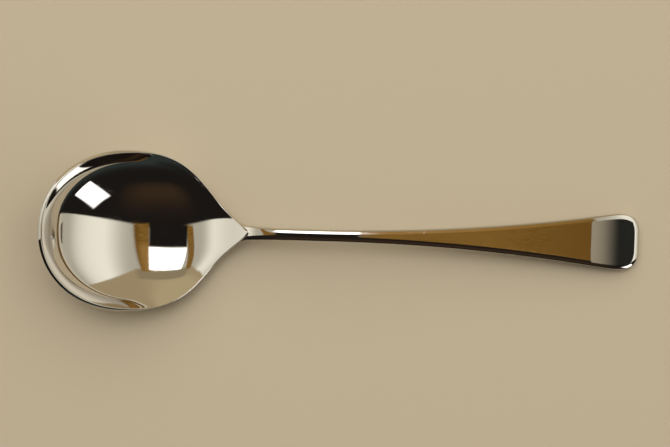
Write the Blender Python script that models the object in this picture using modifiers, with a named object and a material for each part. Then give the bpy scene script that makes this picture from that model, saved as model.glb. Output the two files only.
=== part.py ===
"""A round-bowled soup spoon, at rest on a table.

It is a bowl pressed from sheet, and a forged handle whose tongue is lapped under the heel of the bowl
and brazed there. Metres, +Z up. +X runs from the tip of the bowl to the end of the handle, and both sides
of the XZ plane are alike. The origin is half way along the spoon, at the height of the table.
"""

import math

import bmesh
import bpy
import numpy as np
from mathutils import Vector
from mathutils.geometry import interpolate_bezier

# The whole spoon
OVERALL_LENGTH = 0.170
SEAT_GAP = 0.0003  # filled by the braze, between the bowl's back and the tongue

# The bowl from above: an egg that runs out to a pointed heel
BOWL_LENGTH = 0.0576
BOWL_WIDTH = 0.0455
BOWL_WIDEST = 0.0240  # from the tip
TIP_FULLNESS = 0.58  # 0.55 makes the front half an ellipse, and more makes it squarer
SIDE_FULLNESS = 0.59  # how far the sides keep their width on the way to the heel
HEEL_FLARE_LENGTH = 0.0080  # the outline turns hollow this far before the heel
HEEL_FLARE_WIDTH = 0.0161  # the width of the bowl there
HEEL_FLARE_ANGLE = math.radians(49.5)  # of the outline there, to the length of the spoon
HEEL_HOLLOW = 0.29  # more makes the stretch to the point hollower
SHOULDER_FULLNESS = 0.42  # more keeps the shoulders straight for longer
HEEL_ROUND = 0.0015  # roundness of the point
LEAST_HALF_WIDTH = 0.00001  # keeps the sections across the bowl open at the very tip and heel

# The bowl from the side: the keel is the line along the middle of its back
TIP_RISE = 0.0110  # of the rim at the tip above the rim at the heel
RIM_TILT = math.radians(17)  # of the rim, down from the tip
SHOULDER_FROM_HEEL = 0.0136  # as far as here the rim keeps that slope
SHOULDER_REACH = 0.0060  # more lets the rim dip further before it turns up
SHOULDER_RISE = math.radians(27)  # of the rim at the heel, where it sweeps up to the neck
SWEEP_REACH = 0.0070  # how far the rim holds that slope
LOWEST_FROM_TIP = 0.0352
BOTTOM_RADIUS = 0.045
TIP_SLOPE = math.radians(58)
TIP_REACH = 0.014  # how far the keel holds that slope
HEEL_SLOPE = math.radians(27)
HEEL_REACH = 0.0075  # how far the keel holds that slope
WALL_SHARE = 0.45  # 0 makes the sections across the bowl parabolas, and more flattens their bottom
BOWL_WALL = 0.0011
RIM_ROUND = 0.0003
REST_FLAT = 0.006  # across the worn flat that the bowl rests on

# The handle from above: a slender stem that flares to a broad end
NECK_WIDTH = 0.0041  # at the heel of the bowl
WAIST_WIDTH = 0.0033
WAIST_FROM_HEEL = 0.0214
NECK_TAPER = 4  # more keeps the stem slender until close to the heel
FLARE_WIDTH = 0.0185  # that the sides would reach at the very end, were it not rounded off
END_ROUND_LENGTH = 0.014  # over which the end is rounded off
END_ROUND_POWER = 3.6  # more makes the corners squarer
END_FLAT_SHARE = 0.993  # less leaves a wider flat at the very end

# The handle from the side: it rises over the neck, runs down straight, and turns down at the end
NECK_RISE = math.radians(24)  # at the heel
NECK_LENGTH = 0.0050  # over which the handle turns from that slope to the stem's
STEM_RISE = math.radians(10.3)
ARCH_LENGTH = 0.0324  # from the heel
HANDLE_FALL = math.radians(4.5)
TURN_LENGTH = 0.0146  # at the end
TURN_FALL = math.radians(18.0)
NECK_THICKNESS = 0.0034
END_THICKNESS = 0.0020
EDGE_ROUND = 0.0016  # width of the rounded upper edge, from above
EDGE_DROP = 0.00055  # height of the rounded upper edge

# The tongue under the bowl
TONGUE_LENGTH = 0.0085
TONGUE_WIDTH = 0.0066
TONGUE_THICKNESS = 0.0015
TONGUE_EDGE = 0.0004
TONGUE_TIP_POWER = 4  # more makes its tip squarer

# Steps along the curves
BOWL_SPOKES = 96
BOWL_RINGS = 12
SPOKE_CROWDING = 1.3  # above 1 brings the spokes together at the heel, where the outline turns tightest
TONGUE_STEPS = 12
TONGUE_CROWDING = 1.3  # above 1 brings the steps together at the tip of the tongue
STEM_STEPS = 32
END_STEPS = 12
SECTION_STEPS = 24
CURVE_STEPS = 60

TIP_X = -OVERALL_LENGTH / 2
END_X = OVERALL_LENGTH / 2
HEEL_X = TIP_X + BOWL_LENGTH
LOWEST_X = TIP_X + LOWEST_FROM_TIP
TONGUE_X = HEEL_X - TONGUE_LENGTH
NECK_X = HEEL_X + NECK_LENGTH
ARCH_X = HEEL_X + ARCH_LENGTH
TURN_X = END_X - TURN_LENGTH


def arc_drop(run, start, end):
    """How far an arc falls over a run along X, from one downward slope to another."""
    return run * math.tan((start + end) / 2)


TURN_Z = END_THICKNESS + arc_drop(TURN_LENGTH, HANDLE_FALL, TURN_FALL)
ARCH_Z = TURN_Z + (TURN_X - ARCH_X) * math.tan(HANDLE_FALL)
NECK_Z = ARCH_Z + arc_drop(ARCH_X - NECK_X, -STEM_RISE, HANDLE_FALL)
HEEL_Z = NECK_Z + arc_drop(NECK_LENGTH, -NECK_RISE, -STEM_RISE)
HEEL_RIM_Z = HEEL_Z + SEAT_GAP


def arc_height(x, x_start, x_end, z_start, start, end):
    """The height at x of an arc that turns from one downward slope to another."""
    sine = np.interp(x, (x_start, x_end), (math.sin(start), math.sin(end)))
    return z_start - arc_drop(x - x_start, start, math.asin(sine))


def top_height(x):
    """The height of the handle's top, along its middle."""
    if x < HEEL_X:
        return HEEL_Z + (x - HEEL_X) * math.tan(NECK_RISE)
    if x < NECK_X:
        return arc_height(x, HEEL_X, NECK_X, HEEL_Z, -NECK_RISE, -STEM_RISE)
    if x < ARCH_X:
        return arc_height(x, NECK_X, ARCH_X, NECK_Z, -STEM_RISE, HANDLE_FALL)
    if x < TURN_X:
        return ARCH_Z - (x - ARCH_X) * math.tan(HANDLE_FALL)
    return arc_height(x, TURN_X, END_X, TURN_Z, HANDLE_FALL, TURN_FALL)


def bowl_outline():
    """Points along one side of the rim from above, from the heel to the tip."""
    half = BOWL_WIDTH / 2
    widest = Vector((TIP_X + BOWL_WIDEST, half))
    flare = Vector((HEEL_X - HEEL_FLARE_LENGTH, HEEL_FLARE_WIDTH / 2))
    along = Vector((-math.cos(HEEL_FLARE_ANGLE), math.sin(HEEL_FLARE_ANGLE)))
    side = flare.x - widest.x
    aft = Vector((side * SIDE_FULLNESS, 0))
    fore = Vector((BOWL_WIDEST * TIP_FULLNESS, 0))
    heel = Vector((HEEL_X, 0))
    tip = Vector((TIP_X, 0))
    stretches = (
        (heel, heel + Vector((0, HEEL_ROUND)), flare - along * HEEL_FLARE_WIDTH * HEEL_HOLLOW, flare),
        (flare, flare + along * side * SHOULDER_FULLNESS, widest + aft, widest),
        (widest, widest - fore, tip + Vector((0, half * TIP_FULLNESS)), tip),
    )
    points = [heel]
    for stretch in stretches:
        points += interpolate_bezier(*stretch, CURVE_STEPS)[1:]
    return np.array([(p[0], max(p[1], 0)) for p in points])


TIP = Vector((TIP_X, HEEL_RIM_Z + TIP_RISE))
HEEL = Vector((HEEL_X, HEEL_RIM_Z))


def tangent(angle):
    return Vector((math.cos(angle), math.sin(angle)))


def rim_line():
    """Points along the rim from the side, from the tip to the heel."""
    run = HEEL_X - SHOULDER_FROM_HEEL - TIP_X
    shoulder = TIP + Vector((run, -run * math.tan(RIM_TILT)))
    past = shoulder + SHOULDER_REACH * tangent(-RIM_TILT)
    before = HEEL - SWEEP_REACH * tangent(SHOULDER_RISE)
    return np.array([TIP] + interpolate_bezier(shoulder, past, before, HEEL, CURVE_STEPS))


def keel_line():
    """Points along the middle of the bowl's back, from the tip to the heel."""
    lowest = Vector((LOWEST_X, 0))
    tip_end = TIP + TIP_REACH * tangent(-TIP_SLOPE)
    heel_end = HEEL - HEEL_REACH * tangent(HEEL_SLOPE)
    # These lengths give both stretches the same radius where they meet at the bottom
    fore = Vector((math.sqrt(2 / 3 * BOTTOM_RADIUS * tip_end.y), 0))
    aft = Vector((math.sqrt(2 / 3 * BOTTOM_RADIUS * heel_end.y), 0))
    points = interpolate_bezier(TIP, tip_end, lowest - fore, lowest, CURVE_STEPS)
    points += interpolate_bezier(lowest, lowest + aft, heel_end, HEEL, CURVE_STEPS)[1:]
    return np.array(points)


OUTLINE = bowl_outline()
OUTLINE_RUN = np.concatenate(([0], np.cumsum(np.hypot(*np.diff(OUTLINE, axis=0).T))))
RIM = rim_line()
KEEL = keel_line()
REST_SINK = REST_FLAT**2 / 8 / BOTTOM_RADIUS


def back_height(x, y):
    """The height of the bowl's back at a place seen from above. Beyond the rim it goes on level."""
    half = max(np.interp(x, OUTLINE[::-1, 0], OUTLINE[::-1, 1]), LEAST_HALF_WIDTH)
    rim = np.interp(x, RIM[:, 0], RIM[:, 1])
    keel = np.interp(x, KEEL[:, 0], KEEL[:, 1])
    across = min((y / half) ** 2, 1)
    return keel + (rim - keel) * (across + WALL_SHARE * (across * across - across)) - REST_SINK


def seat_height(x, y):
    """The height of the tongue's top, which follows the bowl's back."""
    return back_height(x, y) - SEAT_GAP


def smooth(share):
    share = min(max(share, 0), 1)
    return share * share * (3 - 2 * share)


def half_width(x):
    """Half the width of the handle from above."""
    if x < HEEL_X:
        back = (HEEL_X - x) / TONGUE_LENGTH
        swell = (TONGUE_WIDTH - NECK_WIDTH) / 2 * smooth(back * 2)
        return (NECK_WIDTH / 2 + swell) * math.sqrt(1 - (END_FLAT_SHARE * back) ** TONGUE_TIP_POWER)
    waist_x = HEEL_X + WAIST_FROM_HEEL
    if x < waist_x:
        to_heel = (waist_x - x) / WAIST_FROM_HEEL
        return (WAIST_WIDTH + (NECK_WIDTH - WAIST_WIDTH) * to_heel**NECK_TAPER) / 2
    flare = (FLARE_WIDTH - WAIST_WIDTH) * ((x - waist_x) / (END_X - waist_x)) ** 2
    into_end = max(x - END_X + END_ROUND_LENGTH, 0) / END_ROUND_LENGTH * END_FLAT_SHARE
    return (WAIST_WIDTH + flare) / 2 * (1 - into_end**END_ROUND_POWER) ** (1 / END_ROUND_POWER)


HANDLE_RUN = np.concatenate(
    (
        np.linspace(TONGUE_X, TURN_X, 4 * CURVE_STEPS),
        END_X - TURN_LENGTH * np.linspace(1, 0, 2 * CURVE_STEPS)[1:] ** 2,
    )
)
HANDLE_SIDE = np.array([(x, half_width(x)) for x in HANDLE_RUN] + [(END_X, 0)])


def from_side(x, y):
    """How far a place seen from above lies inside the handle's outline."""
    place = np.array((x, abs(y)))
    starts = HANDLE_SIDE[:-1]
    steps = np.diff(HANDLE_SIDE, axis=0)
    shares = np.clip(((place - starts) * steps).sum(1) / (steps**2).sum(1), 0, 1)
    return np.hypot(*(starts + shares[:, None] * steps - place).T).min()


def thickness(x):
    return float(np.interp(x, (HEEL_X, END_X), (NECK_THICKNESS, END_THICKNESS)))


def stem_top(x, y):
    """The height of the handle's top at a place seen from above, with its rounded edge."""
    share = max(1 - from_side(x, y) / EDGE_ROUND, 0)
    return top_height(x) - EDGE_DROP * (1 - math.sqrt(1 - share * share))


def handle_section(x):
    """One ring of points round the handle: across its top, and back along its underside."""
    along = (x - TONGUE_X) / TONGUE_LENGTH
    fullness = (TONGUE_THICKNESS - TONGUE_EDGE) * smooth(2 * along)
    stem_under = top_height(x) - thickness(x)
    top, under = [], []
    for step in range(SECTION_STEPS + 1):
        share = math.sin((step / SECTION_STEPS - 0.5) * math.pi)
        y = share * half_width(x)
        high = stem_top(x, y)
        low = stem_under
        if x <= HEEL_X:
            # The top goes on level under the heel, until the bowl's back cuts it off
            high = min(high + (HEEL_X - x) * math.tan(NECK_RISE), seat_height(x, y))
            tongue_under = seat_height(x, y) - TONGUE_EDGE - fullness * math.sqrt(1 - share * share)
            low = tongue_under + (stem_under - tongue_under) * smooth(along)
        top.append(Vector((x, y, high)))
        under.append(Vector((x, y, min(low, high - TONGUE_EDGE))))
    return top + under[::-1]


def polished_metal(name):
    material = bpy.data.materials.new(name)
    material.use_nodes = True
    shader = material.node_tree.nodes["Principled BSDF"]
    shader.inputs["Base Color"].default_value = (0.72, 0.69, 0.64, 1)
    shader.inputs["Metallic"].default_value = 1
    shader.inputs["Roughness"].default_value = 0.08
    return material


def add_object(collection, name, bm):
    mesh = bpy.data.meshes.new(name)
    bm.to_mesh(mesh)
    bm.free()
    mesh.materials.append(polished_metal(name + "_metal"))
    obj = bpy.data.objects.new(name, mesh)
    collection.objects.link(obj)
    return obj


def add_bowl(collection):
    """The bowl's back is the lower half of a sphere drawn out to the rim. The wall goes inwards from it."""
    bm = bmesh.new()
    bmesh.ops.create_uvsphere(bm, u_segments=BOWL_SPOKES, v_segments=2 * BOWL_RINGS, radius=1)
    upper = [v for v in bm.verts if v.co.z > 0.5 / BOWL_RINGS]
    bmesh.ops.delete(bm, geom=upper, context="VERTS")
    first = 1 / BOWL_RINGS
    for vert in bm.verts:
        ring = math.acos(min(-vert.co.z, 1)) / (math.pi / 2)
        spoke = math.atan2(vert.co.y, vert.co.x)
        run = OUTLINE_RUN[-1] * (abs(spoke) / math.pi) ** SPOKE_CROWDING
        rim = Vector([np.interp(run, OUTLINE_RUN, OUTLINE[:, axis]) for axis in (0, 1)])
        reach = rim - Vector((LOWEST_X, 0))
        rest = reach.normalized() * REST_FLAT / 2
        place = rest + (reach - rest) * (ring - first) / (1 - first) if ring > first / 2 else Vector((0, 0))
        x = LOWEST_X + place.x
        y = math.copysign(place.y, spoke)
        vert.co = (x, y, back_height(x, y) if ring > 1.5 * first else 0)
    bowl = add_object(collection, "bowl", bm)
    wall = bowl.modifiers.new("wall", "SOLIDIFY")
    wall.thickness = BOWL_WALL
    wall.offset = -1
    wall.use_even_offset = True
    wall.use_quality_normals = True
    rim = bowl.modifiers.new("rim", "BEVEL")
    rim.width = RIM_ROUND
    rim.segments = 2
    rim.limit_method = "ANGLE"
    rim.angle_limit = math.radians(50)


def add_handle(collection):
    """A loft of rings along the handle, closed at both ends."""
    stations = np.concatenate(
        (
            TONGUE_X + TONGUE_LENGTH * np.linspace(0, 1, TONGUE_STEPS) ** TONGUE_CROWDING,
            np.linspace(HEEL_X, TURN_X, STEM_STEPS)[1:],
            END_X - TURN_LENGTH * np.linspace(1, 0, END_STEPS)[1:] ** 2,
        )
    )
    bm = bmesh.new()
    rings = [[bm.verts.new(point) for point in handle_section(x)] for x in stations]
    for ring, following in zip(rings, rings[1:]):
        for i in range(len(ring)):
            bm.faces.new((ring[i - 1], ring[i], following[i], following[i - 1]))
    bm.faces.new(rings[0])
    bm.faces.new(rings[-1])
    bmesh.ops.recalc_face_normals(bm, faces=bm.faces)
    add_object(collection, "handle", bm)


for old in list(bpy.data.objects):
    bpy.data.objects.remove(old)
spoon = bpy.data.collections.new("soup_spoon")
bpy.context.scene.collection.children.link(spoon)
add_bowl(spoon)
add_handle(spoon)
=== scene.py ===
"""A mirror-polished soup spoon on a plain pale floor, seen from above.

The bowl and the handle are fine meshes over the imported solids, made from the same sizes and curves. Metres,
+Z up, +X from the tip of the bowl to the end of the handle.
"""

import math

import bpy
import numpy as np
from mathutils import Matrix, Vector


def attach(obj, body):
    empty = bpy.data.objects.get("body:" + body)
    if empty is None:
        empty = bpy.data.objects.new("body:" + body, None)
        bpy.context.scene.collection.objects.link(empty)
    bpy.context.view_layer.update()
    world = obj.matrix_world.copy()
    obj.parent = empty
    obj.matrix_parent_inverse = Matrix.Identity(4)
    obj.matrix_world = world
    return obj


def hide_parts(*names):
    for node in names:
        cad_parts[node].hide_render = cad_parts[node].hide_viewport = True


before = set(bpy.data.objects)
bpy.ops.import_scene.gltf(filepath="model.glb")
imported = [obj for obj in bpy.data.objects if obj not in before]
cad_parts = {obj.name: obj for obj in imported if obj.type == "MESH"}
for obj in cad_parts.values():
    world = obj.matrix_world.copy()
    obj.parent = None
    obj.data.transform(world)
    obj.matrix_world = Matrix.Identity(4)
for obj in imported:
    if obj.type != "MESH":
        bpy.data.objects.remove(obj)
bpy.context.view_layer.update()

# The bowl from above, with the sizes that the solids have
OVERALL_LENGTH = 0.170
BOWL_LENGTH = 0.0576
BOWL_WIDTH = 0.0455
BOWL_WIDEST = 0.0240  # from the tip
TIP_FULLNESS = 0.58  # 0.55 makes the front half an ellipse, and more makes it squarer
SIDE_FULLNESS = 0.59  # how far the sides keep their width on the way to the heel
HEEL_FLARE_LENGTH = 0.0080  # the outline turns hollow this far before the heel
HEEL_FLARE_WIDTH = 0.0161  # the width of the bowl there
HEEL_FLARE_ANGLE = math.radians(49.5)  # of the outline there, to the length of the spoon
HEEL_HOLLOW = 0.29  # more makes the stretch to the point hollower
SHOULDER_FULLNESS = 0.42  # more keeps the shoulders straight for longer
HEEL_ROUND = 0.0015  # roundness of the point
LEAST_HALF_WIDTH = 0.00001  # keeps the sections across the bowl open at the very tip and heel

# The bowl from the side, with the sizes that the solids have
TIP_RISE = 0.0110  # of the rim at the tip above the rim at the heel
RIM_TILT = math.radians(17)  # of the rim, down from the tip
SHOULDER_FROM_HEEL = 0.0136  # as far as here the rim keeps that slope
SHOULDER_REACH = 0.0060  # more lets the rim dip further before it turns up
SHOULDER_RISE = math.radians(27)  # of the rim at the heel, where it sweeps up to the neck
SWEEP_REACH = 0.0070  # how far the rim holds that slope
LOWEST_FROM_TIP = 0.0352
BOTTOM_RADIUS = 0.045
TIP_SLOPE = math.radians(58)
TIP_REACH = 0.014  # how far the keel holds that slope
HEEL_SLOPE = math.radians(27)
HEEL_REACH = 0.0075  # how far the keel holds that slope
WALL_SHARE = 0.45  # 0 makes the sections across the bowl parabolas, and more flattens their bottom
REST_FLAT = 0.006  # across the worn flat that the bowl rests on

# The bowl's wall, which is even and thicker on the solids
INNER_WALL = 0.0006
RIM_ROUND = 0.00019
RIM_BAND = 0.13  # where the wall varies, as a share of the way out to the rim
RIM_BAND_POWER = 1.3  # more keeps the change closer to the rim
TIP_GAIN = 0.0005  # at the rim round the tip, which makes the inside steeper there
TIP_GAIN_FULL_X = -0.066
TIP_GAIN_NONE_X = -0.052
SHOULDER_LOSS = 0.0002  # at the rim between the tip and the heel, which leaves the rim thin there
SHOULDER_LOSS_FULL_X = -0.044
SHOULDER_LOSS_NONE_X = -0.034

# The handle from above, with the sizes that the solids have
NECK_WIDTH = 0.0041  # at the heel of the bowl
WAIST_WIDTH = 0.0033
WAIST_FROM_HEEL = 0.0214
NECK_TAPER = 4  # more keeps the stem slender until close to the heel
FLARE_WIDTH = 0.0185  # that the sides would reach at the very end, were it not rounded off
END_ROUND_LENGTH = 0.014  # over which the end is rounded off
END_ROUND_POWER = 3.6  # more makes the corners squarer
END_FLAT_SHARE = 0.993  # less leaves a wider flat at the very end

# The handle from the side, with the sizes that the solids have
NECK_RISE = math.radians(24)  # at the heel
NECK_LENGTH = 0.0050  # over which the handle turns from that slope to the stem's
STEM_RISE = math.radians(10.3)
ARCH_LENGTH = 0.0324  # from the heel
HANDLE_FALL = math.radians(4.5)
TURN_LENGTH = 0.0146  # at the end
TURN_FALL = math.radians(18.0)
NECK_THICKNESS = 0.0034
END_THICKNESS = 0.0020
EDGE_ROUND = 0.0016  # width of the rounded upper edge, from above
EDGE_DROP = 0.00055  # height of the rounded upper edge
UNDER_ROUND = 0.0003  # of the lower edges, which the solids leave square
MOST_ROUND = 0.9  # that a rounded edge takes up of half the width

# The tongue under the heel, with the sizes that the solids have
TONGUE_LENGTH = 0.0085
TONGUE_WIDTH = 0.0066
TONGUE_THICKNESS = 0.0015
TONGUE_EDGE = 0.0004
TONGUE_TIP_POWER = 4  # more makes its tip squarer
TONGUE_SWELL = 0.5  # the share of its length over which it swells
LIP_LENGTH = 0.0040  # of the slope beside the point of the heel, which the solids leave level
SEAT_GAP = 0.0003  # between the solids, filled here by the braze

# Steps along the curves, fine enough for a mirror
CURVE_STEPS = 2000
SPOKES = 360
SPOKE_CROWDING = 1.2  # above 1 brings the spokes together at the heel, where the outline turns tightest
RINGS = 72
FIRST_RING = 0.004  # as a share of the way out to the rim
CORNER_STEPS = 5
TONGUE_STEPS = 80
STEM_STEPS = 260
END_STEPS = 90
EDGE_STEPS = 14
FLAT_STEPS = 12
SIDE_SAMPLES = 1200

TIP_X = -OVERALL_LENGTH / 2
END_X = OVERALL_LENGTH / 2
HEEL_X = TIP_X + BOWL_LENGTH
LOWEST_X = TIP_X + LOWEST_FROM_TIP
TONGUE_X = HEEL_X - TONGUE_LENGTH
WAIST_X = HEEL_X + WAIST_FROM_HEEL
NECK_X = HEEL_X + NECK_LENGTH
ARCH_X = HEEL_X + ARCH_LENGTH
TURN_X = END_X - TURN_LENGTH
REST_SINK = REST_FLAT**2 / 8 / BOTTOM_RADIUS


def arc_drop(run, start, end):
    """How far an arc falls over a run along X, from one downward slope to another."""
    return run * np.tan((start + end) / 2)


TURN_Z = END_THICKNESS + arc_drop(TURN_LENGTH, HANDLE_FALL, TURN_FALL)
ARCH_Z = TURN_Z + (TURN_X - ARCH_X) * math.tan(HANDLE_FALL)
NECK_Z = ARCH_Z + arc_drop(ARCH_X - NECK_X, -STEM_RISE, HANDLE_FALL)
HEEL_Z = NECK_Z + arc_drop(NECK_LENGTH, -NECK_RISE, -STEM_RISE)
HEEL_RIM_Z = HEEL_Z + SEAT_GAP
TIP = np.array((TIP_X, HEEL_RIM_Z + TIP_RISE))
HEEL = np.array((HEEL_X, HEEL_RIM_Z))


def tangent(angle):
    return np.array((math.cos(angle), math.sin(angle)))


def smooth(share):
    """A share of the way from 0 to 1, eased at both ends."""
    share = np.clip(share, 0, 1)
    return share * share * (3 - 2 * share)


def unit(vectors):
    return vectors / np.linalg.norm(vectors, axis=-1, keepdims=True)


def crowded(start, end, steps):
    """Places from start to end that come together towards the end."""
    return end - (end - start) * np.linspace(1, 0, steps) ** 2


def bezier(start, start_end, finish_end, finish):
    """Points along one stretch of a curve, from its start to its finish."""
    t = np.linspace(0, 1, CURVE_STEPS)[:, None]
    ends = np.array((start, start_end, finish_end, finish))
    weights = np.hstack(((1 - t) ** 3, 3 * t * (1 - t) ** 2, 3 * t**2 * (1 - t), t**3))
    return weights @ ends


def bowl_outline():
    """Points along one side of the rim from above, from the heel to the tip."""
    half = BOWL_WIDTH / 2
    widest = np.array((TIP_X + BOWL_WIDEST, half))
    flare = np.array((HEEL_X - HEEL_FLARE_LENGTH, HEEL_FLARE_WIDTH / 2))
    along = np.array((-math.cos(HEEL_FLARE_ANGLE), math.sin(HEEL_FLARE_ANGLE)))
    side = flare[0] - widest[0]
    aft = np.array((side * SIDE_FULLNESS, 0))
    fore = np.array((BOWL_WIDEST * TIP_FULLNESS, 0))
    heel = np.array((HEEL_X, 0))
    tip = np.array((TIP_X, 0))
    stretches = (
        (heel, heel + (0, HEEL_ROUND), flare - along * HEEL_FLARE_WIDTH * HEEL_HOLLOW, flare),
        (flare, flare + along * side * SHOULDER_FULLNESS, widest + aft, widest),
        (widest, widest - fore, tip + (0, half * TIP_FULLNESS), tip),
    )
    points = np.vstack([heel] + [bezier(*stretch)[1:] for stretch in stretches])
    points[:, 1] = np.maximum(points[:, 1], 0)
    return points


def rim_line():
    """Points along the rim from the side, from the tip to the heel."""
    run = HEEL_X - SHOULDER_FROM_HEEL - TIP_X
    shoulder = TIP + (run, -run * math.tan(RIM_TILT))
    past = shoulder + SHOULDER_REACH * tangent(-RIM_TILT)
    before = HEEL - SWEEP_REACH * tangent(SHOULDER_RISE)
    return np.vstack((TIP, bezier(shoulder, past, before, HEEL)))


def keel_line():
    """Points along the middle of the bowl's back, from the tip to the heel."""
    lowest = np.array((LOWEST_X, 0))
    tip_end = TIP + TIP_REACH * tangent(-TIP_SLOPE)
    heel_end = HEEL - HEEL_REACH * tangent(HEEL_SLOPE)
    fore = np.array((math.sqrt(2 / 3 * BOTTOM_RADIUS * tip_end[1]), 0))
    aft = np.array((math.sqrt(2 / 3 * BOTTOM_RADIUS * heel_end[1]), 0))
    front = bezier(TIP, tip_end, lowest - fore, lowest)
    rear = bezier(lowest, lowest + aft, heel_end, HEEL)
    return np.vstack((front, rear[1:]))


OUTLINE = bowl_outline()
OUTLINE_RUN = np.concatenate(([0], np.cumsum(np.hypot(*np.diff(OUTLINE, axis=0).T))))
RIM = rim_line()
KEEL = keel_line()
RING_SHARES = np.concatenate(([FIRST_RING], np.linspace(0, 1, RINGS)[1:]))[:, None]


def back_height(x, y):
    """The height of the bowl's back at places seen from above, before its worn flat is cut."""
    half = np.maximum(np.interp(x, OUTLINE[::-1, 0], OUTLINE[::-1, 1]), LEAST_HALF_WIDTH)
    rim = np.interp(x, RIM[:, 0], RIM[:, 1])
    keel = np.interp(x, KEEL[:, 0], KEEL[:, 1])
    across = np.minimum((y / half) ** 2, 1)
    return keel + (rim - keel) * (across + WALL_SHARE * (across * across - across)) - REST_SINK


def arc_height(x, x_start, x_end, z_start, start, end):
    """The height at x of an arc that turns from one downward slope to another."""
    sine = np.interp(x, (x_start, x_end), (math.sin(start), math.sin(end)))
    return z_start - arc_drop(x - x_start, start, np.arcsin(sine))


def top_height(x):
    """The height of the handle's top, along its middle."""
    tongue = HEEL_Z + (x - HEEL_X) * math.tan(NECK_RISE)
    neck = arc_height(x, HEEL_X, NECK_X, HEEL_Z, -NECK_RISE, -STEM_RISE)
    arch = arc_height(x, NECK_X, ARCH_X, NECK_Z, -STEM_RISE, HANDLE_FALL)
    straight = ARCH_Z - (x - ARCH_X) * math.tan(HANDLE_FALL)
    turn = arc_height(x, TURN_X, END_X, TURN_Z, HANDLE_FALL, TURN_FALL)
    ends = (x < HEEL_X, x < NECK_X, x < ARCH_X, x < TURN_X)
    return np.select(ends, (tongue, neck, arch, straight), turn)


def half_width(x):
    """Half the width of the handle from above."""
    back = np.clip((HEEL_X - x) / TONGUE_LENGTH, 0, 1)
    swell = (TONGUE_WIDTH - NECK_WIDTH) / 2 * smooth(back / TONGUE_SWELL)
    tongue = (NECK_WIDTH / 2 + swell) * np.sqrt(1 - (END_FLAT_SHARE * back) ** TONGUE_TIP_POWER)
    to_heel = (WAIST_X - x) / WAIST_FROM_HEEL
    neck = (WAIST_WIDTH + (NECK_WIDTH - WAIST_WIDTH) * to_heel**NECK_TAPER) / 2
    flare = (FLARE_WIDTH - WAIST_WIDTH) * ((x - WAIST_X) / (END_X - WAIST_X)) ** 2
    into_end = np.clip((x - END_X + END_ROUND_LENGTH) / END_ROUND_LENGTH, 0, 1) * END_FLAT_SHARE
    end = (WAIST_WIDTH + flare) / 2 * (1 - into_end**END_ROUND_POWER) ** (1 / END_ROUND_POWER)
    return np.select((x < HEEL_X, x < WAIST_X), (tongue, neck), end)


def handle_outline():
    """Points along one side of the handle from above, from the tongue's tip to the middle of the end."""
    stem = np.linspace(TONGUE_X, TURN_X, SIDE_SAMPLES)
    run = np.concatenate((stem, crowded(TURN_X, END_X, SIDE_SAMPLES)[1:]))
    return np.vstack((np.column_stack((run, half_width(run))), (END_X, 0)))


HANDLE_OUTLINE = handle_outline()


def from_side(x, y):
    """How far places seen from above lie inside the handle's outline."""
    starts = HANDLE_OUTLINE[:-1]
    steps = np.diff(HANDLE_OUTLINE, axis=0)
    squares = (steps**2).sum(1)
    distances = []
    for place in np.column_stack((x, np.abs(y))):
        shares = np.clip(((place - starts) * steps).sum(1) / squares, 0, 1)
        distances.append(np.hypot(*(starts + shares[:, None] * steps - place).T).min())
    return np.array(distances)


def bowl_back():
    """Rings of points over the bowl's back, out to the rim, with their normals and the rim's direction."""
    angles = np.linspace(-math.pi, math.pi, SPOKES, endpoint=False)
    run = OUTLINE_RUN[-1] * (np.abs(angles) / math.pi) ** SPOKE_CROWDING
    rim_x = np.interp(run, OUTLINE_RUN, OUTLINE[:, 0])
    rim_y = np.interp(run, OUTLINE_RUN, OUTLINE[:, 1]) * np.sign(angles)
    x = LOWEST_X + (rim_x - LOWEST_X) * RING_SHARES
    y = rim_y * RING_SHARES
    back = np.stack((x, y, back_height(x, y)), axis=-1)
    outward = np.gradient(back, axis=0, edge_order=2)
    around = np.roll(back, -1, axis=1) - np.roll(back, 1, axis=1)
    normals = unit(np.cross(outward, around))
    return back, normals, unit(around[-1])


def wall_thickness(x):
    """The bowl's wall on each ring, at places so far along X."""
    band = np.clip((RING_SHARES - 1 + RIM_BAND) / RIM_BAND, 0, 1) ** RIM_BAND_POWER
    tip = smooth((TIP_GAIN_NONE_X - x) / (TIP_GAIN_NONE_X - TIP_GAIN_FULL_X))
    to_heel = smooth((SHOULDER_LOSS_NONE_X - x) / (SHOULDER_LOSS_NONE_X - SHOULDER_LOSS_FULL_X))
    return INNER_WALL + band * (TIP_GAIN * tip - SHOULDER_LOSS * (1 - tip) * to_heel)


def bowl_rings():
    """Rings of points from the middle of the back, out and over the rim, and in again over the inside."""
    back, normals, along_rim = bowl_back()
    wall = wall_thickness(back[..., 0])[..., None]
    inside = back[:-1] + normals[:-1] * wall[:-1]
    outside = back[:-1].copy()
    outside[..., 2] = np.maximum(outside[..., 2], 0)
    edge = back[-1]
    up = normals[-1]
    out = unit(np.cross(along_rim, up))
    corner = np.linspace(0, math.pi / 2, CORNER_STEPS)[:, None, None]
    inner = edge - out * RIM_ROUND + up * (wall[-1] - RIM_ROUND)
    outer = edge - out * RIM_ROUND + up * RIM_ROUND
    inner_corner = inner + RIM_ROUND * (up * np.cos(corner) + out * np.sin(corner))
    outer_corner = outer + RIM_ROUND * (out * np.cos(corner) - up * np.sin(corner))
    return np.concatenate((outside, outer_corner[::-1], inner_corner[::-1], inside[::-1]))


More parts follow.
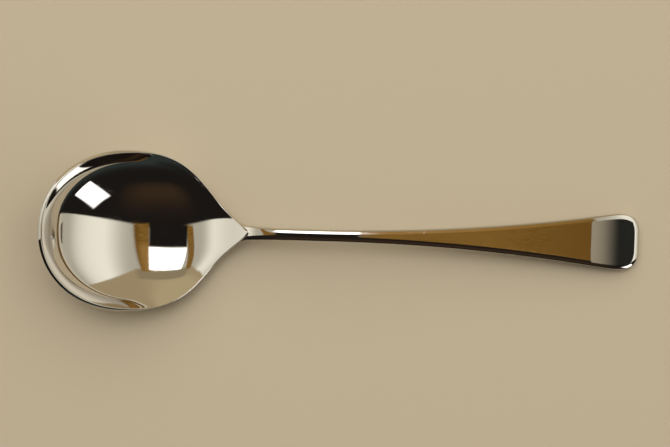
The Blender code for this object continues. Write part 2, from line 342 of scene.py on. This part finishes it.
def tongue_heights(x, y, half, top, under):
    """The tongue's top, which lies against the bowl's back, and its underside, which thins to its tip."""
    seat = back_height(x, y)
    into = (x - TONGUE_X) / TONGUE_LENGTH
    top = np.minimum(top + np.maximum(HEEL_X - LIP_LENGTH - x, 0) * math.tan(NECK_RISE), seat)
    fullness = (TONGUE_THICKNESS - TONGUE_EDGE) * smooth(into / TONGUE_SWELL)
    tongue_under = seat - TONGUE_EDGE - fullness * np.sqrt(np.clip(1 - (y / half) ** 2, 0, 1))
    under = tongue_under + (under - tongue_under) * smooth(into)
    return top, np.minimum(under, top - TONGUE_EDGE)


def handle_ring(x):
    """Points round the handle at one place along it: over the top from +Y to -Y, and back underneath."""
    half = half_width(np.full(1, x))[0]
    edge = min(EDGE_ROUND, MOST_ROUND * half)
    lower = min(UNDER_ROUND, MOST_ROUND * half)
    turn = np.linspace(math.pi / 2, 0, EDGE_STEPS)
    side = half - edge * (1 - np.sin(turn))
    flat = np.linspace(half - edge, edge - half, FLAT_STEPS)[1:-1]
    y = np.concatenate((side, flat, -side[::-1]))
    along = np.full_like(y, x)
    over_edge = np.clip(1 - from_side(along, y) / EDGE_ROUND, 0, 1)
    under_edge = np.clip((np.abs(y) - half + lower) / lower, 0, 1)
    thickness = np.interp(x, (HEEL_X, END_X), (NECK_THICKNESS, END_THICKNESS))
    top = top_height(along) - EDGE_DROP * (1 - np.sqrt(1 - over_edge**2))
    under = top_height(along) - thickness + lower * (1 - np.sqrt(1 - under_edge**2))
    if x <= HEEL_X:
        top, under = tongue_heights(along, y, half, top, under)
    upper = np.column_stack((along, y, top))
    below = np.column_stack((along, y, under))[::-1]
    return np.vstack((upper, below))


def handle_rings():
    """Rings of points round the handle, from the tip of the tongue to the end."""
    tongue = crowded(HEEL_X, TONGUE_X, TONGUE_STEPS)[::-1]
    stem = np.linspace(HEEL_X, TURN_X, STEM_STEPS)[1:]
    end = crowded(TURN_X, END_X, END_STEPS)[1:]
    return np.array([handle_ring(x) for x in np.concatenate((tongue, stem, end))])


def add_mesh(name, points, faces, material):
    """An object from points and the faces between them."""
    mesh = bpy.data.meshes.new(name)
    mesh.from_pydata(points, [], faces)
    mesh.materials.append(material)
    mesh.shade_smooth()
    mesh.validate()
    piece = bpy.data.objects.new(name, mesh)
    bpy.context.scene.collection.objects.link(piece)
    return piece


def add_rings(name, rings, material):
    """A closed mesh from rings of points, with the first and the last one closed off."""
    rows, count = rings.shape[:2]
    index = np.arange(rows * count).reshape(rows, count)
    following = np.roll(index, -1, axis=1)
    quads = np.stack((index[:-1], following[:-1], following[1:], index[1:]), axis=-1).reshape(-1, 4)
    faces = quads.tolist() + [index[0, ::-1].tolist(), index[-1].tolist()]
    return add_mesh(name, rings.reshape(-1, 3).tolist(), faces, material)


def add_sheet(name, x_ends, y_ends, height, material):
    """A level sheet with four corners."""
    corners = [(x, y, height) for x in x_ends for y in y_ends]
    return add_mesh(name, corners, [(0, 2, 3, 1)], material)


def linear(hex_colour, level=1.0):
    """An sRGB hex colour as linear red, green and blue, times a level of light, and alpha."""
    shares = [int(hex_colour[i : i + 2], 16) / 255 for i in (1, 3, 5)]
    return [level * (s / 12.92 if s <= 0.04045 else ((s + 0.055) / 1.055) ** 2.4) for s in shares] + [1]


def add_node(tree, kind, inputs, **settings):
    """Adds a node with its settings. Each of its inputs is linked to a socket, or set to a value."""
    node = tree.nodes.new("ShaderNode" + kind)
    for name, value in settings.items():
        setattr(node, name, value)
    for name, value in inputs.items():
        if isinstance(value, bpy.types.NodeSocket):
            tree.links.new(value, node.inputs[name])
        else:
            node.inputs[name].default_value = value
    return node


def new_material(name, colour, roughness):
    """A material of one colour and roughness, with its node tree and its shader."""
    material = bpy.data.materials.new(name)
    material.use_nodes = True
    shader = material.node_tree.nodes["Principled BSDF"]
    shader.inputs["Base Color"].default_value = linear(colour)
    shader.inputs["Roughness"].default_value = roughness
    return material, material.node_tree, shader


# The polish. Real polishing lines are some thousandths of a millimetre wide, and are drawn coarser here
METAL_COLOUR = "#DDD8D1"
LINE_LENGTH = 0.050
LINE_WIDTH = 0.0005
LINE_DETAIL = 2.0
SCRATCH_LENGTH = 0.009
SCRATCH_SPACING = 0.0016
SCRATCH_SHARE = 0.008  # of the spacing that a scratch takes up
SCRATCH_ANGLES = (math.radians(8), math.radians(-14))
SCRATCHED_FROM = 0.52  # level of the noise above which scratches start to show
SCRATCHED_FULLY = 0.60
WAVE_SIZE = 0.014
SMUDGE_SIZE = 0.011
SMUDGE_DETAIL = 3.0
SMUDGED_FROM = 0.45  # level of the noise above which smudges start to show
SMUDGED_FULLY = 0.7
PLAIN = 0.0  # detail of a noise with no finer one in it
NOISE_MIDDLE = 0.5
CLEAN_ROUGHNESS = 0.03
SMUDGED_ROUGHNESS = 0.06
SCRATCH_ROUGHNESS = 0.06


def polished_nickel_silver(name, line_depth, wave_depth):
    """Nickel silver, pressed or forged and then buffed to a mirror along its length.

    Stretched noise tilts the surface into fine lengthwise lines, and a broad, shallow wave keeps the mirror
    from being perfect. Two sets of thin scratches from use catch the light, and soft smudges dull it.
    """
    material, tree, shader = new_material(name, METAL_COLOUR, CLEAN_ROUGHNESS)
    shader.inputs["Metallic"].default_value = 1
    patches = {
        "wave": (WAVE_SIZE, WAVE_SIZE, PLAIN, 0),
        "lines": (LINE_LENGTH, LINE_WIDTH, LINE_DETAIL, 0),
        "smudges": (SMUDGE_SIZE, SMUDGE_SIZE, SMUDGE_DETAIL, 0),
    }
    for angle in SCRATCH_ANGLES:
        patches["scratches", angle] = (SCRATCH_LENGTH, SCRATCH_SPACING, PLAIN, angle)
        patches["scratched", angle] = (SCRATCH_LENGTH, SCRATCH_LENGTH, PLAIN, angle)
    place = add_node(tree, "TexCoord", {}).outputs["Object"]
    noise = {}
    for pattern, (length, width, detail, angle) in patches.items():
        turned = add_node(tree, "Mapping", {"Vector": place, "Rotation": (0, 0, angle)}).outputs[0]
        stretch = {"Vector": turned, "Scale": (1 / length, 1 / width, 1 / width)}
        stretched = add_node(tree, "Mapping", stretch).outputs[0]
        stretched = {"Vector": stretched, "Scale": 1.0, "Detail": detail}
        noise[pattern] = add_node(tree, "TexNoise", stretched).outputs["Fac"]

    scratches = 0.0
    for angle in SCRATCH_ANGLES:
        line = {0: noise["scratches", angle], 1: NOISE_MIDDLE, 2: SCRATCH_SHARE}
        line = add_node(tree, "Math", line, operation="COMPARE").outputs[0]
        shown = noise["scratched", angle]
        shown = {"Value": shown, "From Min": SCRATCHED_FROM, "From Max": SCRATCHED_FULLY}
        shown = add_node(tree, "MapRange", shown).outputs[0]
        line = add_node(tree, "Math", {0: line, 1: shown}, operation="MULTIPLY").outputs[0]
        scratches = add_node(tree, "Math", {0: scratches, 1: line}, operation="MAXIMUM").outputs[0]
    smudges = {"Value": noise["smudges"], "From Min": SMUDGED_FROM, "From Max": SMUDGED_FULLY}
    smudges |= {"To Min": CLEAN_ROUGHNESS, "To Max": SMUDGED_ROUGHNESS}
    roughness = add_node(tree, "MapRange", smudges, interpolation_type="SMOOTHSTEP").outputs[0]
    roughness = {0: scratches, 1: SCRATCH_ROUGHNESS, 2: roughness}
    roughness = add_node(tree, "Math", roughness, operation="MULTIPLY_ADD").outputs[0]
    tree.links.new(roughness, shader.inputs["Roughness"])

    wave = add_node(tree, "Bump", {"Height": noise["wave"], "Distance": wave_depth}).outputs[0]
    lines = {"Height": noise["lines"], "Distance": line_depth, "Normal": wave}
    tree.links.new(add_node(tree, "Bump", lines).outputs[0], shader.inputs["Normal"])
    return material


BOWL_LINE_DEPTH = 0.000001
BOWL_WAVE_DEPTH = 0.00002
HANDLE_LINE_DEPTH = 0.0000045
HANDLE_WAVE_DEPTH = 0.00001
bowl_metal = polished_nickel_silver("polished_nickel_silver_bowl", BOWL_LINE_DEPTH, BOWL_WAVE_DEPTH)
handle_metal = polished_nickel_silver("polished_nickel_silver_handle", HANDLE_LINE_DEPTH, HANDLE_WAVE_DEPTH)
bowl = add_rings("spoon_bowl", bowl_rings(), bowl_metal)
handle = add_rings("spoon_handle", handle_rings(), handle_metal)
for piece, node, slot in ((bowl, "bowl", "bowl_metal"), (handle, "handle", "handle_metal")):
    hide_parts(node)
    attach(piece, "root")

# The floor, plain and matt
FLOOR_REACH = 3.0
FLOOR_COLOUR = "#C0B299"
MATT_ROUGHNESS = 0.9
floor_material = new_material("matt_floor", FLOOR_COLOUR, MATT_ROUGHNESS)[0]
floor_ends = (-FLOOR_REACH, FLOOR_REACH)
floor = add_sheet("floor", floor_ends, floor_ends, 0, floor_material)

# A small card past the end of the handle, outside the picture, that only the metal shows
# It is a painted reflection: pale painted light at its start, going over into painted shade, for the handle's
# end to mirror
CARD_START = 0.0845
CARD_END = 0.130
CARD_SIDES = (-0.018, 0.0085)
CARD_HEIGHT = 0.045
FADE_END = 0.109  # along X, from pale at the start to dark here
CARD_PALE = "#E6ECF5"
CARD_DARK = "#293341"
card_material, card_tree, card_shader = new_material("painted_reflection_card", CARD_PALE, MATT_ROUGHNESS)
fade = add_node(card_tree, "TexCoord", {}).outputs["Object"]
fade = add_node(card_tree, "SeparateXYZ", {0: fade}).outputs["X"]
fade = {"Value": fade, "From Min": CARD_START, "From Max": FADE_END}
fade = add_node(card_tree, "MapRange", fade, interpolation_type="SMOOTHSTEP").outputs[0]
fade = {0: fade, 6: linear(CARD_PALE), 7: linear(CARD_DARK)}
fade = add_node(card_tree, "Mix", fade, data_type="RGBA").outputs[2]
card_tree.links.new(fade, card_shader.inputs["Base Color"])
card = add_sheet("card", (CARD_START, CARD_END), CARD_SIDES, CARD_HEIGHT, card_material)
card.visible_camera = False
card.visible_diffuse = False
card.visible_shadow = False

# The camera
CAMERA_DISTANCE = 0.450
CAMERA_AIM = Vector((-0.002616, 0.003047, 0))
CAMERA_LEAN = math.radians(2.75)  # from straight above, towards +Y
CAMERA_TURN = math.radians(1.459)
CAMERA_NEAREST = 0.01  # that it sees
PIXEL_SIZE = 0.00028878  # on the floor
IMAGE_WIDTH = 670
camera_data = bpy.data.cameras.new("camera")
camera = bpy.data.objects.new("camera", camera_data)
bpy.context.scene.collection.objects.link(camera)
bpy.context.scene.camera = camera
back = Vector((0, math.sin(CAMERA_LEAN), math.cos(CAMERA_LEAN)))
right = Vector((math.cos(CAMERA_TURN), math.sin(CAMERA_TURN), 0))
right = (right - back * right.dot(back)).normalized()
up = back.cross(right)
place = Matrix((right, up, back)).transposed().to_4x4()
place.translation = CAMERA_AIM + back * CAMERA_DISTANCE
camera.matrix_world = place
camera_data.lens = camera_data.sensor_width * CAMERA_DISTANCE / (PIXEL_SIZE * IMAGE_WIDTH)
camera_data.clip_start = CAMERA_NEAREST

# The lamp, a wide soft one up on the far side, which the metal doesn't show
LAMP_PLACE = Vector((0, 0.6, 0.8))
LAMP_SIZE = 1.5
LAMP_POWER = 9.0
lamp_data = bpy.data.lights.new("soft_lamp", "AREA")
lamp_data.size = LAMP_SIZE
lamp_data.energy = LAMP_POWER
lamp = bpy.data.objects.new("soft_lamp", lamp_data)
bpy.context.scene.collection.objects.link(lamp)
lamp.location = LAMP_PLACE
lamp.rotation_euler = LAMP_PLACE.to_track_quat("Z", "Y").to_euler()
lamp.visible_glossy = False
lamp.visible_camera = False

# The studio around it, which the metal mirrors as plain fields of light and shade
STUDIO_LEVEL = 1.05
LOWEST_DIRECTION = 0.02  # keeps the ceiling within reach near the horizon
BRIGHT_WALL = linear("#FFFDF0", 1.05)
WALL = linear("#BEBAAB")
LOW_WALL = linear("#D0C9B4")
FAR_WALL = linear("#AB9A79")
LIT_FAR_WALL = linear("#BDAD89")
SILL = linear("#978A6F")
SKIRTING = linear("#6B5330")
SHADE = linear("#1E1B19")
WARM_SHADE = linear("#3B2D20")
COOL_SHADE = linear("#323938")
DARK_GRAIN = linear("#684818")
PALE_GRAIN = linear("#9E7A3D")
SHADED_WOOD = linear("#6A4A1E")
LIT_WOOD = linear("#A07B42")
DAYLIGHT = linear("#FFFFFF", 3.0)
LAMPLIGHT = linear("#FFFFFF", 2.2)
GRAIN_ACROSS = 0.08
GRAIN_AHEAD = 0.007
GRAIN_DETAIL = 2.0
GRAIN_FROM = 0.3  # level of the noise where the grain is darkest
GRAIN_TO = 0.7

world = bpy.data.worlds.new("studio")
bpy.context.scene.world = world
world.use_nodes = True
studio = world.node_tree

# Where a direction meets a ceiling one unit up: so far across, along +X, and so far ahead, along +Y
direction = add_node(studio, "TexCoord", {}).outputs["Generated"]
upward = add_node(studio, "SeparateXYZ", {0: direction}).outputs["Z"]
upward = add_node(studio, "Math", {0: upward, 1: LOWEST_DIRECTION}, operation="MAXIMUM").outputs[0]
reach = add_node(studio, "Math", {0: 1.0, 1: upward}, operation="DIVIDE").outputs[0]
ceiling = add_node(studio, "VectorMath", {0: direction, "Scale": reach}, operation="SCALE").outputs[0]

# The wood of the posts, with a fine grain
grain = {"Vector": ceiling, "Scale": (1 / GRAIN_ACROSS, 1 / GRAIN_AHEAD, 1)}
grain = {"Vector": add_node(studio, "Mapping", grain).outputs[0], "Scale": 1.0, "Detail": GRAIN_DETAIL}
grain = add_node(studio, "TexNoise", grain).outputs["Fac"]
grain = {"Value": grain, "From Min": GRAIN_FROM, "From Max": GRAIN_TO}
grain = add_node(studio, "MapRange", grain).outputs[0]
wood = add_node(studio, "Mix", {0: grain, 6: DARK_GRAIN, 7: PALE_GRAIN}, data_type="RGBA").outputs[2]

# A layer covers those before it, where a * across + b * ahead is over c for each of its edges (a, b, c)
SHARP = 0.02
SOFT = 0.06
VAGUE = 0.30
WIDE = 1.3
FAINT = 3.0
LAYERS = (
    # The walls towards +X and -X, bright high up and greyer lower down
    (BRIGHT_WALL, VAGUE, ((1, 0, 0.66),)),
    (BRIGHT_WALL, VAGUE, ((-1, 0, 0.95),)),
    (WALL, WIDE, ((1, 0, 2.2),)),
    (WALL, WIDE, ((-1, 0, 2.0),)),
    # The far wall, lighter towards -X, and the sill of its window
    (FAR_WALL, SOFT, ((0, 1, 0.64), (-1.05, 1, 0.27), (0.98, 1, 0.0))),
    (LIT_FAR_WALL, VAGUE, ((-1, 0, -0.1), (0.98, 1, 0.3), (0, 1, 1.0))),
    (SILL, SOFT, ((1, 0, -0.6), (-1, 0, -0.36), (0, 1, 0.64), (0, -1, -1.05))),
    # The foot of the wall towards +X
    (LOW_WALL, WIDE, ((1, 0.4, 6.8),)),
    (SKIRTING, FAINT, ((1, 0.4, 13),)),
    # The dark near side, with a warm patch in it, and cooler at its foot
    (SHADE, SHARP, ((-0.2, -1, 0.045), (0.2, -1, 0.045))),
    (WARM_SHADE, VAGUE, ((1, 0, -0.4), (-1, 0, -0.5), (0, 1, -1.1), (0, -1, 0.4))),
    (COOL_SHADE, FAINT, ((0, -1, 5), (-0.2, -1, 0.045))),
    # The posts on both sides of the window, the one towards +X with a dark outer side and a lit foot
    (wood, SHARP, ((1, 0, 0.165), (-1, -0.12, -0.36), (0, 1, -0.12), (0, -1, -0.70))),
    (wood, SHARP, ((-1, -0.2, 0.355), (1, 0.2, -0.50), (0, 1, -0.12), (0, -1, -0.70))),
    (SHADED_WOOD, SOFT, ((1, 0, 0.31), (-1, -0.12, -0.36), (0, 1, -0.12), (0, -1, -0.70))),
    (LIT_WOOD, SOFT, ((1, 0, 0.12), (-1, -0.12, -0.31), (0, 1, 0.12), (0, -1, -0.70))),
    # The window, and the shade above it
    (DAYLIGHT, SHARP, ((1, 0, -0.36), (-1, 0, -0.165), (0, 1, 0.15), (0, -1, -0.64))),
    (SHADE, SHARP, ((1, 0, -0.36), (-1, 0, -0.165), (0, 1, -0.12), (0, -1, -0.15))),
    # A lamp on the near side, towards +X
    (LAMPLIGHT, SOFT, ((1.16, 1, 0.288), (0.6, -1, 1.255), (-0.642, -1, -0.343), (-0.8, 0.6, -4))),
)
paint = WALL
for colour, softness, edges in LAYERS:
    mask = 1.0
    for a, b, c in edges:
        edge = {0: ceiling, 1: (a, b, 0)}
        edge = add_node(studio, "VectorMath", edge, operation="DOT_PRODUCT").outputs["Value"]
        edge = {"Value": edge, "From Min": c - softness, "From Max": c + softness}
        edge = add_node(studio, "MapRange", edge, interpolation_type="SMOOTHSTEP").outputs[0]
        mask = add_node(studio, "Math", {0: mask, 1: edge}, operation="MULTIPLY").outputs[0]
    paint = add_node(studio, "Mix", {0: mask, 6: paint, 7: colour}, data_type="RGBA").outputs[2]
studio.links.new(paint, studio.nodes["Background"].inputs["Color"])
studio.nodes["Background"].inputs["Strength"].default_value = STUDIO_LEVEL
bpy.context.scene.view_settings.view_transform = "Standard"
